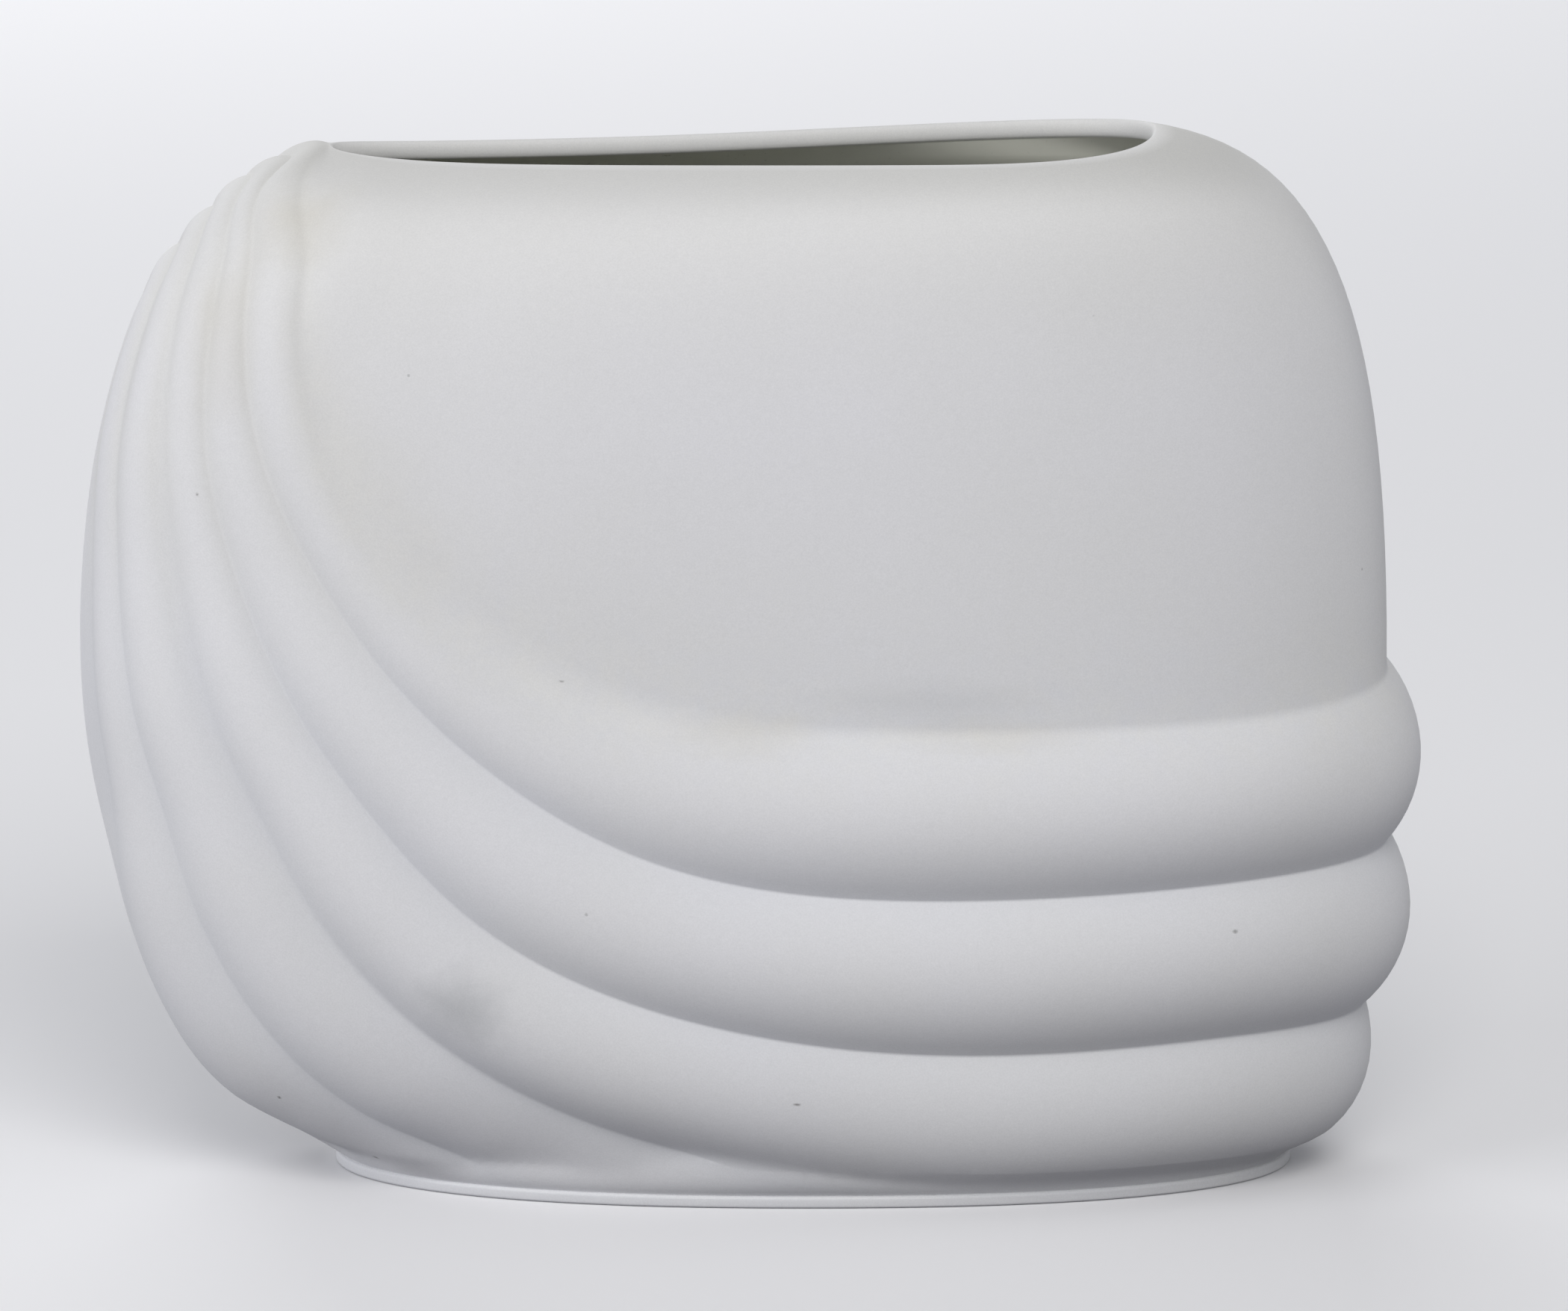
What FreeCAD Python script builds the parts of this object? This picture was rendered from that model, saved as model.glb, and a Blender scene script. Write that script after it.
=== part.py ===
"""Flat oval porcelain vase whose lower part swells in draped folds under a smooth panel.

Frame: origin at the middle of the foot's underside, X along the vase's length,
front towards -Y, Z up. Millimetres.
"""

import FreeCAD
import Part
import os
import math

# ---- overall sizes ----
LENGTH = 286.0              # side to side over the folds
DEPTH = 104.0               # front to back at the fold creases
RIM_HEIGHT = 226.0          # foot underside to the highest point of the rim
WALL = 4.0                  # cast wall at the lip
FOOT_LENGTH = 207.0         # oval foot plate
FOOT_DEPTH = 80.0
FOOT_HEIGHT = 2.6
FOOT_FULLNESS = 2.3         # exponent of the foot's oval
FOOT_RING = 7.0             # width of the ring the vase stands on
FOOT_RECESS = 1.2           # hollow inside that ring
FOOT_BEVEL = 0.6
FOOT_POINTS = 24
FLOOR = 4.5                 # floor of the cast body
SEAM_GAP = 0.01             # widest gap closed where faces are joined

# Plan section of the crease level, one row per height: height (share of the rim height),
# left and right ends (shares of the length), half depth (share of the depth) and the
# exponent of the oval. Rows below the foot only guide the folds that pass under it.
PLAN_SHARES = [
    (-0.265, -0.157, 0.210, 0.173, 2.2),
    (-0.133, -0.285, 0.308, 0.235, 2.2),
    (0.000, -0.342, 0.326, 0.316, 2.2),
    (0.044, -0.408, 0.372, 0.380, 2.3),
    (0.089, -0.464, 0.396, 0.429, 2.4),
    (0.160, -0.501, 0.415, 0.476, 2.5),
    (0.265, -0.528, 0.428, 0.500, 2.6),
    (0.376, -0.535, 0.430, 0.503, 2.8),
    (0.487, -0.542, 0.427, 0.490, 3.0),
    (0.620, -0.538, 0.421, 0.474, 3.0),
    (0.730, -0.526, 0.416, 0.463, 3.0),
    (0.841, -0.4945, 0.398, 0.442, 3.0),
    (0.907, -0.4555, 0.372, 0.394, 3.0),
    (0.951, -0.4175, 0.334, 0.317, 3.0),
    (0.985, -0.3595, 0.283, 0.240, 3.0),
    (1.018, -0.297, 0.210, 0.115, 3.0),
]

# Creases between the folds, from the left end over the front to the right end. Each is a
# spline pulled by these points: bearing round the plan section in degrees (180 left,
# 90 front, 0 right) and height (share of the rim height).
PANEL_CREASE_SHARES = [
    (180, 0.984), (137.5, 0.984), (132, 0.865), (115.5, 0.555), (94, 0.472),
    (74, 0.472), (48, 0.470), (26, 0.488), (0, 0.490),
]
FIRST_CREASE_SHARES = [
    (180, 0.971), (142.5, 0.971), (135.5, 0.800), (120, 0.512), (101.5, 0.338),
    (77, 0.306), (48, 0.320), (30, 0.325), (0, 0.325),
]
SECOND_CREASE_SHARES = [
    (180, 0.953), (145, 0.953), (140, 0.782), (127, 0.477), (112, 0.226),
    (77, 0.147), (47, 0.170), (30, 0.163), (0, 0.163),
]
THIRD_CREASE_SHARES = [
    (180, 0.923), (153, 0.923), (146, 0.809), (135, 0.441), (121, 0.124),
    (84, -0.010), (46, 0.009), (25, 0.009), (0, 0.009),
]
FOURTH_CREASE_SHARES = [
    (180, 0.889), (160, 0.889), (156.5, 0.805), (145.5, 0.461), (137, 0.034),
    (91, -0.127), (36, -0.110), (25, -0.133), (0, -0.133),
]
SIDE_CREASE_SHARES = [
    (180, 0.843), (168, 0.843), (170.5, 0.798), (153, 0.453), (163, -0.062),
    (90, -0.236), (30, -0.205), (20, -0.221), (0, -0.221),
]
# Crest of the side fold, in the middle plane: length share and height share.
SIDE_CREST_SHARES = [
    (-0.497, 0.843), (-0.500, 0.835), (-0.527, 0.775), (-0.572, 0.382), (-0.424, -0.003),
    (-0.120, -0.165), (0.100, -0.205), (0.200, -0.221), (0.231, -0.221),
]
# Rim of the mouth: length share, half depth share and height share.
RIM_SHARES = [
    (-0.358, 0.000, 0.984), (-0.358, 0.032, 0.983), (-0.300, 0.092, 0.979), (-0.200, 0.142, 0.976),
    (-0.080, 0.182, 0.978), (0.080, 0.245, 0.983), (0.200, 0.268, 0.987), (0.252, 0.135, 0.996),
    (0.252, 0.000, 1.000),
]

# Height of a fold over its chord, as a share of the chord, from left end to right end.
FOLD_RISE_SHARES = [(0.0, 0.150), (0.2, 0.120), (0.4, 0.140), (0.65, 0.180), (1.0, 0.196)]
LOWEST_FOLD_RISE_SHARES = [(0.0, 0.150), (0.2, 0.120), (0.4, 0.140), (0.65, 0.210), (0.85, 0.240), (1.0, 0.275)]
FADING_FOLD_RISE_SHARES = [(0.0, 0.150), (0.2, 0.120), (0.4, 0.110), (0.55, 0.090), (1.0, 0.080)]
FOLD_SHOULDER_SHARES = (0.289, 0.711)   # where along its chord a fold is widest
# Fold down the side: swell over its chord, place of that swell along the chord, the depth
# it still has short of its crest, and how far the swell leans downwards.
SIDE_SWELL_SHARE = 0.10
SIDE_SHOULDER_SHARE = 0.35
SIDE_DEPTH_SHARE = 0.45
SIDE_LEAN_SHARE = 0.3
# Where the panel bends over into the shoulder: share of the way to the rim's own length
# position, and how far both handles reach towards the bend.
BEND_SHIFT_SHARES = [(0.0, 0.90), (0.2, 0.85), (0.5, 0.60), (0.8, 0.20), (1.0, 0.0)]
BEND_REACH_SHARES = [(0.0, 0.60), (0.2, 0.80), (0.5, 0.92), (0.8, 0.88), (0.92, 0.79), (1.0, 0.715)]
SHOULDER_FALL_SHARES = [(0.0, 0.20), (0.8, 0.24), (1.0, 0.14)]
PANEL_LEAN_SHARE = 0.96     # depth of the panel's bend against its foot
# Sections of the inside: height share, then the shares of the wall by which the section is
# drawn in, drawn in further at its left end under the lowest folds, and lowered.
CAVITY_SHARES = [
    (0.06, 1.0, 1.3, 0.0), (0.10, 1.0, 2.0, 0.0), (0.22, 1.0, 1.5, 0.0), (0.30, 1.0, 0.9, 0.0),
    (0.42, 1.0, 0.1, 0.0), (0.65, 1.0, 0.0, 0.0), (0.82, 1.0, 0.0, 0.0), (0.90, 0.9, 0.0, 0.5),
    (0.951, 0.7, 0.0, 0.8),
]
LEFT_END_POWER = 6.0        # how closely the further draw keeps to the left end
LIP_SWELL_SHARE = 0.35      # rounding of the lip against the wall

STATIONS = 33
CAVITY_POINTS = STATIONS
CREASE_KNOTS = [0.0, 1.0, 2.0, 3.0, 4.0, 5.0, 6.0]
CREASE_MULTS = [4, 1, 1, 1, 1, 1, 4]


def share_at(rows, place):
    """Smooth value of a table of (place, value) rows at one place."""
    last = len(rows) - 1
    i = 0
    while i < last - 1 and place > rows[i + 1][0]:
        i += 1
    slopes = []
    for j in (i, i + 1):
        before = rows[max(j - 1, 0)]
        after = rows[min(j + 1, last)]
        slopes.append((after[1] - before[1]) / (after[0] - before[0]))
    gap = rows[i + 1][0] - rows[i][0]
    t = (place - rows[i][0]) / gap
    start = rows[i][1] * (1 + 2 * t) * (1 - t) ** 2 + slopes[0] * gap * t * (1 - t) ** 2
    return start + rows[i + 1][1] * t * t * (3 - 2 * t) + slopes[1] * gap * t * t * (t - 1)


def plan_point(bearing, height_share):
    """Point of the crease-level surface at a bearing and a height."""
    left, right, half, fullness = [
        share_at([(row[0], row[k]) for row in PLAN_SHARES], height_share) for k in (1, 2, 3, 4)
    ]
    c = math.cos(math.radians(bearing))
    s = math.sin(math.radians(bearing))
    reach = (abs(c) ** fullness + abs(s) ** fullness) ** (-1 / fullness)
    middle = (left + right) / 2
    x = middle + (right - left) / 2 * reach * c
    return FreeCAD.Vector(x * LENGTH, -half * reach * s * DEPTH, height_share * RIM_HEIGHT)


def places():
    return [i / (STATIONS - 1) for i in range(STATIONS)]


def pulled(points, count):
    """Points at even parameters of the spline pulled by nine points."""
    curve = Part.BSplineCurve()
    curve.buildFromPolesMultsKnots(points, CREASE_MULTS, CREASE_KNOTS, False, 3)
    return [curve.value(CREASE_KNOTS[-1] * i / (count - 1)) for i in range(count)]


def crease(shares):
    guides = [FreeCAD.Vector(bearing, 0, height) for bearing, height in shares]
    points = [plan_point(p.x, p.z) for p in pulled(guides, STATIONS)]
    points[0].y = 0
    points[-1].y = 0
    return points


def side_crest():
    guides = [FreeCAD.Vector(x * LENGTH, 0, z * RIM_HEIGHT) for x, z in SIDE_CREST_SHARES]
    return pulled(guides, STATIONS)


def rim_points(count, drop):
    """Front half of the rim, lowered by a drop."""
    guides = []
    for x, y, z in RIM_SHARES:
        guides.append(FreeCAD.Vector(x * LENGTH, -y * DEPTH, z * RIM_HEIGHT - drop))
    return pulled(guides, count)


def steps(row):
    """Direction of a row at each of its stations; square to the middle plane at its ends."""
    out = []
    for i in range(STATIONS):
        a = row[max(i - 1, 0)]
        b = row[min(i + 1, STATIONS - 1)]
        out.append(b - a)
    out[0] = FreeCAD.Vector(0, -1, 0)
    out[-1] = FreeCAD.Vector(0, 1, 0)
    return out


def outward(row, chords):
    """Unit normals of the body along a row; the chords run downwards across it."""
    normals = []
    for step, chord in zip(steps(row), chords):
        normals.append(chord.cross(step).normalize())
    return normals


def between(a, b, share):
    return a + (b - a) * share


def fold_rows(upper, lower, rise_shares):
    """Four rows of a fold that swells between two creases."""
    chords = [b - a for a, b in zip(upper, lower)]
    middle = [between(a, b, 0.5) for a, b in zip(upper, lower)]
    normals = outward(middle, chords)
    first = []
    second = []
    for i, place in enumerate(places()):
        handle = normals[i] * (chords[i].Length * share_at(rise_shares, place) * 4 / 3)
        first.append(between(upper[i], lower[i], FOLD_SHOULDER_SHARES[0]) + handle)
        second.append(between(upper[i], lower[i], FOLD_SHOULDER_SHARES[1]) + handle)
    return [upper, first, second, lower]


def side_rows(crease_row, crest):
    """Half of the fold that runs down the side, up to its crest in the middle plane."""
    first = []
    second = []
    lean = FreeCAD.Vector(-1, 0, -SIDE_LEAN_SHARE).normalize()
    for a, b in zip(crease_row, crest):
        swell = lean * ((b - a).Length * SIDE_SWELL_SHARE)
        first.append(between(a, b, SIDE_SHOULDER_SHARE) + swell)
        second.append(FreeCAD.Vector(b.x, a.y * SIDE_DEPTH_SHARE, b.z))
    return [crease_row, first, second, crest]


def panel_rows(panel_crease, mouth):
    """The smooth panel and the shoulder it bends over into, up to the rim."""
    first = []
    second = []
    for i, place in enumerate(places()):
        foot = panel_crease[i]
        top = mouth[i]
        shift = share_at(BEND_SHIFT_SHARES, place)
        bend = FreeCAD.Vector(foot.x + (top.x - foot.x) * shift, foot.y * PANEL_LEAN_SHARE, top.z)
        bend.z -= (bend - top).Length * share_at(SHOULDER_FALL_SHARES, place)
        reach = share_at(BEND_REACH_SHARES, place)
        first.append(between(foot, bend, reach))
        second.append(between(top, bend, reach))
    return [mouth, second, first, panel_crease]


def strip(left_poles, right_poles, knots, mults):
    """Ruled strip between the cross curves of two neighbouring stations."""
    surface = Part.BSplineSurface()
    surface.buildFromPolesMultsKnots([left_poles, right_poles], [2, 2], mults, [0.0, 1.0], knots,
                                     False, False, 1, 3)
    return surface.toShape()


def flat_strip(corners):
    """Nearly flat four-cornered face."""
    surface = Part.BSplineSurface()
    surface.buildFromPolesMultsKnots([corners[:2], corners[2:]], [2, 2], [2, 2], [0.0, 1.0],
                                     [0.0, 1.0], False, False, 1, 1)
    return surface.toShape()


def skin(rows):
    """Strips of a surface whose cross curve at each station is pulled by four rows."""
    stations = list(zip(*rows))
    return [strip(a, b, [0.0, 1.0], [4, 4]) for a, b in zip(stations, stations[1:])]


def both_sides(faces):
    """Faces of the front and their mirror images at the back."""
    middle = FreeCAD.Vector(0, 0, 0)
    return faces + [face.mirror(middle, FreeCAD.Vector(0, 1, 0)) for face in faces]


def outer_creases():
    tables = (PANEL_CREASE_SHARES, FIRST_CREASE_SHARES, SECOND_CREASE_SHARES,
              THIRD_CREASE_SHARES, FOURTH_CREASE_SHARES, SIDE_CREASE_SHARES)
    return [crease(table) for table in tables]


def outer_skin(rails):
    """Faces of the folded outside, mouth left open."""
    mouth = rails[0]
    creases = rails[1:-1]
    faces = skin(panel_rows(creases[0], mouth))
    rises = [FOLD_RISE_SHARES, FOLD_RISE_SHARES, LOWEST_FOLD_RISE_SHARES,
             FADING_FOLD_RISE_SHARES, FADING_FOLD_RISE_SHARES]
    for upper, lower, rise_shares in zip(creases, creases[1:], rises):
        faces += skin(fold_rows(upper, lower, rise_shares))
    faces += skin(side_rows(creases[-1], rails[-1]))
    return both_sides(faces)


def across_mouth(mouth):
    """Strips that close the mouth from front to back."""
    rows = []
    for share in (0, 1 / 3, 2 / 3, 1):
        rows.append([FreeCAD.Vector(p.x, p.y * (1 - 2 * share), p.z) for p in mouth])
    return skin(rows)


def closed_solid(faces):
    shell = Part.makeShell(faces)
    shell.sewShape()
    solid = Part.makeSolid(shell)
    solid.fix(SEAM_GAP, SEAM_GAP, SEAM_GAP)
    return solid


def cut_level(skin_faces, mouth, level):
    """Faces of a skin cut flat at a level and closed there, mouth left open."""
    cap = across_mouth(mouth)
    solid = closed_solid(skin_faces + cap)
    box = Part.makeBox(2 * LENGTH, 2 * DEPTH, RIM_HEIGHT,
                       FreeCAD.Vector(-LENGTH, -DEPTH, level - RIM_HEIGHT))
    kept = solid.cut(box)
    middles = [face.CenterOfMass for face in cap]
    faces = []
    for face in kept.Faces:
        if min((face.CenterOfMass - middle).Length for middle in middles) > SEAM_GAP:
            faces.append(face)
    return faces


def lip():
    """Soft edge of the wall round the mouth."""
    swell = WALL * LIP_SWELL_SHARE
    top = rim_points(STATIONS, 0)
    inward = outward(top, [FreeCAD.Vector(0, 0, 1)] * STATIONS)
    upper = [p + n * swell for p, n in zip(top, inward)]
    below = [p - FreeCAD.Vector(0, 0, WALL) for p in top]
    lower = [p + n * swell for p, n in zip(below, inward)]
    return both_sides(skin([top, upper, lower, below]))


def cavity_section(height_share, inset, left_inset, drop):
    """Front half of the crease-level plan section, drawn in by the wall."""
    points = []
    for i in range(CAVITY_POINTS):
        bearing = 180 - 180 * i / (CAVITY_POINTS - 1)
        point = plan_point(bearing, height_share)
        c = math.cos(math.radians(bearing))
        s = math.sin(math.radians(bearing))
        drawn = inset + left_inset * max(0.0, -c) ** LEFT_END_POWER
        points.append(point - FreeCAD.Vector(drawn * c, -drawn * s, drop))
    points[0].y = 0
    points[-1].y = 0
    return points


def cavity(level):
    """Faces of the inside from the lip's lower edge to a floor level."""
    rows = [cavity_section(level / RIM_HEIGHT, WALL, 0, 0)]
    for height_share, *shares in CAVITY_SHARES:
        rows.append(cavity_section(height_share, *[WALL * share for share in shares]))
    rows.append(rim_points(CAVITY_POINTS, WALL))
    faces = []
    for lower, upper in zip(rows, rows[1:]):
        for i in range(CAVITY_POINTS - 1):
            corners = [lower[i], lower[i + 1], upper[i], upper[i + 1]]
            faces.append(flat_strip(corners))
    front = Part.makePolygon(rows[0])
    back = front.mirror(FreeCAD.Vector(0, 0, 0), FreeCAD.Vector(0, 1, 0))
    return both_sides(faces) + [Part.Face(Part.Wire(front.Edges + back.Edges))]


def vase_body(rails):
    """Cast shell: folded outside, smooth inside, open mouth with a rounded lip."""
    outer = cut_level(outer_skin(rails), rails[0], FOOT_HEIGHT)
    return closed_solid(outer + lip() + cavity(FOOT_HEIGHT + FLOOR))


def oval(length, depth, level):
    """Outline of the foot at one level."""
    points = []
    for i in range(FOOT_POINTS):
        turn = 2 * math.pi * i / FOOT_POINTS
        c = math.cos(turn)
        s = math.sin(turn)
        reach = (abs(c) ** FOOT_FULLNESS + abs(s) ** FOOT_FULLNESS) ** (-1 / FOOT_FULLNESS)
        points.append(FreeCAD.Vector(length / 2 * reach * c, depth / 2 * reach * s, level))
    curve = Part.BSplineCurve()
    curve.interpolate(Points=points, PeriodicFlag=True)
    return Part.Wire(curve.toShape())


def foot_plinth():
    """Oval foot plate with bevelled edges, hollowed underneath inside its standing ring."""
    inset = 2 * FOOT_BEVEL
    sections = [
        oval(FOOT_LENGTH - inset, FOOT_DEPTH - inset, 0),
        oval(FOOT_LENGTH, FOOT_DEPTH, FOOT_BEVEL),
        oval(FOOT_LENGTH, FOOT_DEPTH, FOOT_HEIGHT - FOOT_BEVEL),
        oval(FOOT_LENGTH - inset, FOOT_DEPTH - inset, FOOT_HEIGHT),
    ]
    side = Part.makeLoft(sections, False, True)
    inner_length = FOOT_LENGTH - 2 * FOOT_RING
    inner_depth = FOOT_DEPTH - 2 * FOOT_RING
    hollow = [oval(inner_length, inner_depth, 0), oval(inner_length, inner_depth, FOOT_RECESS)]
    wall = Part.makeLoft(hollow, False, True)
    ring = Part.Face(sections[0]).cut(Part.Face(hollow[0]))
    faces = side.Faces + wall.Faces + ring.Faces
    faces += [Part.Face(sections[-1]), Part.Face(hollow[1])]
    return closed_solid(faces)


def main():
    os.makedirs("parts", exist_ok=True)
    rails = [rim_points(STATIONS, 0)] + outer_creases() + [side_crest()]
    pieces = {
        "vase_body": vase_body(rails),
        "foot_plinth": foot_plinth(),
    }
    for name, shape in pieces.items():
        shape.exportStep("parts/" + name + ".step")
        print(name, shape.isValid(), round(shape.Volume), shape.BoundBox)


main()
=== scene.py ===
"""Flat oval bisque vase with draped folds, on a pale floor in soft light.

Lengths are worked out in millimetres and put into the meshes in metres. The origin is the
middle of the foot's underside, X runs along the vase, the front faces -Y and Z is up.
"""

import math

import bmesh
import bpy
import numpy as np
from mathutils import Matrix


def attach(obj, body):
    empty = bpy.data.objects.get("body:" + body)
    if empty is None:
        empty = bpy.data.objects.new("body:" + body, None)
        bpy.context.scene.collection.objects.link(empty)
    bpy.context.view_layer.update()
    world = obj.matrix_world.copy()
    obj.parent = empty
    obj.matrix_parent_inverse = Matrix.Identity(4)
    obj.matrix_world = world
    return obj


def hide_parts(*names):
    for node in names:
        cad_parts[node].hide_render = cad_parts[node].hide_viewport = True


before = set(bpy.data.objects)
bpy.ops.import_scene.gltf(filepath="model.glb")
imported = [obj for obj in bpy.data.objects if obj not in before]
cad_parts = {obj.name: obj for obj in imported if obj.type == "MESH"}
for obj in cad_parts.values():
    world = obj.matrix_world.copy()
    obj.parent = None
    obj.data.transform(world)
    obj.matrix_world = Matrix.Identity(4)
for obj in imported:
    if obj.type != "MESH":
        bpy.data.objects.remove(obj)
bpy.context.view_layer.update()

MM = 0.001

# ---- sizes of the vase ----
LENGTH = 286.0
DEPTH = 104.0
RIM_HEIGHT = 226.0
WALL = 4.0
FLOOR_THICKNESS = 4.5
FOOT_LENGTH = 207.0
FOOT_DEPTH = 80.0
FOOT_HEIGHT = 2.6
FOOT_FULLNESS = 2.3
FOOT_RING = 7.0
FOOT_RECESS = 1.2
FOOT_ROUNDING = 0.7

STATIONS = 253      # columns of the front half, left end to right end
PANEL_ROWS = 27
FOLD_ROWS = 16
SIDE_ROWS = 13
LIP_ROWS = 9
CREASE_ROWS = 4

# Plan section of the crease level, one row per height (share of the rim height): left and
# right ends as shares of the length, half depth as a share of the depth, and the fullness of
# the oval. Rows below the foot only guide the folds that run out above it.
PLAN = [
    (-0.265, -0.157, 0.210, 0.173, 2.2),
    (-0.133, -0.285, 0.308, 0.235, 2.2),
    (0.000, -0.342, 0.326, 0.316, 2.2),
    (0.044, -0.408, 0.372, 0.380, 2.3),
    (0.089, -0.464, 0.396, 0.429, 2.4),
    (0.160, -0.501, 0.415, 0.476, 2.5),
    (0.265, -0.528, 0.428, 0.500, 2.6),
    (0.376, -0.535, 0.430, 0.503, 2.8),
    (0.487, -0.542, 0.427, 0.490, 3.0),
    (0.620, -0.538, 0.421, 0.474, 3.0),
    (0.730, -0.526, 0.416, 0.463, 3.0),
    (0.841, -0.4945, 0.398, 0.442, 3.0),
    (0.907, -0.4555, 0.372, 0.394, 3.0),
    (0.951, -0.4175, 0.334, 0.317, 3.0),
    (0.985, -0.3595, 0.283, 0.240, 3.0),
    (1.018, -0.297, 0.210, 0.115, 3.0),
]

# Creases from the top one down: pulls as bearing in degrees (180 left, 90 front, 0 right) and
# height share.
CREASES = [
    [(180, 0.984), (137.5, 0.984), (132, 0.865), (115.5, 0.555), (94, 0.472),
     (74, 0.472), (48, 0.470), (26, 0.488), (0, 0.490)],
    [(180, 0.971), (142.5, 0.971), (135.5, 0.800), (120, 0.512), (101.5, 0.338),
     (77, 0.306), (48, 0.320), (30, 0.325), (0, 0.325)],
    [(180, 0.953), (145, 0.953), (140, 0.782), (127, 0.477), (112, 0.226),
     (77, 0.147), (47, 0.170), (30, 0.163), (0, 0.163)],
    [(180, 0.923), (153, 0.923), (146, 0.809), (135, 0.441), (121, 0.124),
     (84, -0.010), (46, 0.009), (25, 0.009), (0, 0.009)],
    [(180, 0.889), (160, 0.889), (156.5, 0.805), (145.5, 0.461), (137, 0.034),
     (91, -0.127), (36, -0.110), (25, -0.133), (0, -0.133)],
    [(180, 0.843), (168, 0.843), (170.5, 0.798), (153, 0.453), (163, -0.062),
     (90, -0.236), (30, -0.205), (20, -0.221), (0, -0.221)],
]
# Crest of the side fold, in the middle plane: length share and height share.
SIDE_CREST = [
    (-0.497, 0.843), (-0.500, 0.835), (-0.527, 0.775), (-0.572, 0.382), (-0.424, -0.003),
    (-0.120, -0.165), (0.100, -0.205), (0.200, -0.221), (0.231, -0.221),
]
# Rim of the mouth: length share, half depth share and height share.
RIM = [
    (-0.358, 0.000, 0.984), (-0.358, 0.056, 0.982), (-0.305, 0.118, 0.9765),
    (-0.200, 0.152, 0.976), (-0.080, 0.182, 0.978), (0.080, 0.245, 0.983),
    (0.200, 0.268, 0.987), (0.252, 0.135, 0.996), (0.252, 0.000, 1.000),
]

# Tables along the creases, 0 at the left end and 1 at the right end. A fold's rise is its
# height over its chord, as a share of the chord.
FOLD_RISE = [(0.0, 0.150), (0.2, 0.120), (0.4, 0.140), (0.65, 0.180), (1.0, 0.196)]
LOWEST_FOLD_RISE = [
    (0.0, 0.150), (0.2, 0.120), (0.4, 0.140), (0.65, 0.210), (0.85, 0.240), (1.0, 0.275),
]
FADING_FOLD_RISE = [(0.0, 0.150), (0.2, 0.120), (0.4, 0.110), (0.55, 0.090), (1.0, 0.080)]
# The panel's bend point: its way from the top crease towards the rim, how far the panel's
# pulls reach for it, and how far it falls under the rim.
BEND_SHIFT = [(0.0, 0.90), (0.2, 0.85), (0.5, 0.60), (0.8, 0.20), (1.0, 0.0)]
BEND_REACH = [(0.0, 0.60), (0.2, 0.80), (0.5, 0.92), (0.8, 0.88), (0.92, 0.79), (1.0, 0.715)]
SHOULDER_FALL = [(0.0, 0.20), (0.8, 0.24), (1.0, 0.14)]
PANEL_LEAN = 0.96       # depth of the bend point, as a share of the top crease's
FOLD_SHOULDERS = (0.289, 0.711)     # where along its chord a fold is widest
SIDE_SWELL = 0.10       # swell of the side fold over its chord
SIDE_SHOULDER = 0.35    # place of that swell along the chord
SIDE_DEPTH = 0.45       # depth that the fold still has short of its crest
SIDE_LEAN = 0.3         # how far the swell leans downwards
LIP_SWELL = 0.35        # swell of the lip's edge, as a share of the wall

PANEL_SHADE_POWER = 12      # how close to its crease the panel takes painted shade
PANEL_HANDLED_POWER = 14    # how close to it the panel is handled

# How far a crease is softened to either side, in millimetres: the top one is a soft hollow.
PANEL_CREASE_SOFTNESS = [
    (0.0, 0.6), (0.15, 2.0), (0.35, 6.5), (0.5, 4.0), (0.62, 1.8), (0.85, 1.4), (1.0, 0.8),
]
CREASE_SOFTNESS = [(0.0, 0.4), (0.1, 1.1), (0.22, 0.75), (0.35, 0.5), (1.0, 0.6)]
FOURTH_CREASE_SOFTNESS = [
    (0.0, 0.3), (0.12, 1.2), (0.25, 2.4), (0.4, 1.4), (0.55, 0.6), (1.0, 0.6),
]
MOST_TRIMMED = 0.3      # largest share of a band that the softening takes

# The foot's joint, in millimetres where it isn't a share.
SUNK = 0.6              # how far the shell's cut edge lies under the top of the foot
RUN_OUT_HEIGHT = 9.0    # below this the folds run out into the foot's oval
RUN_OUT_POWER = 1.5     # how slowly they start to
RUN_OUT_FADE = 2.2      # above this many run-out heights nothing is moved
FOOT_LEDGE = 1.0        # width of the foot that stays in sight all round
UNDERCUT = 3.8          # how far the folds stand out over the foot's top, less the ledge
UNDERCUT_HEIGHT = 3.0   # how fast they reach that
UNDERCUT_BLEND = 0.02   # rounding where the folds meet it, as a share of the foot's reach
FOOT_RINGS = (2.6, 2.9, 3.3, 3.8, 4.4, 5.2, 6.2, 7.4, 9.0)

# Inside: height share, then the shares of the wall by which the section is drawn in, drawn in
# further at its left end under the lowest folds, and lowered.
CAVITY = [
    (0.06, 1.0, 1.3, 0.0), (0.10, 1.0, 2.0, 0.0), (0.22, 1.0, 1.5, 0.0), (0.30, 1.0, 0.9, 0.0),
    (0.42, 1.0, 0.1, 0.0), (0.65, 1.0, 0.0, 0.0), (0.82, 1.0, 0.0, 0.0), (0.90, 0.9, 0.0, 0.5),
    (0.951, 0.7, 0.0, 0.8),
]
LEFT_END_POWER = 6.0    # how fast the further inset fades away from the left end
CAVITY_ROWS = 22
# The floor of the well: rows as shares of the way from its middle to its corner, and then the
# rounding at that corner as share and lift in millimetres.
FLOOR_SHARES = (0.0, 0.3, 0.6, 0.85)
FLOOR_ROUNDING = [(0.95, 0.0), (0.985, 0.8), (1.0, 2.6)]

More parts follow.
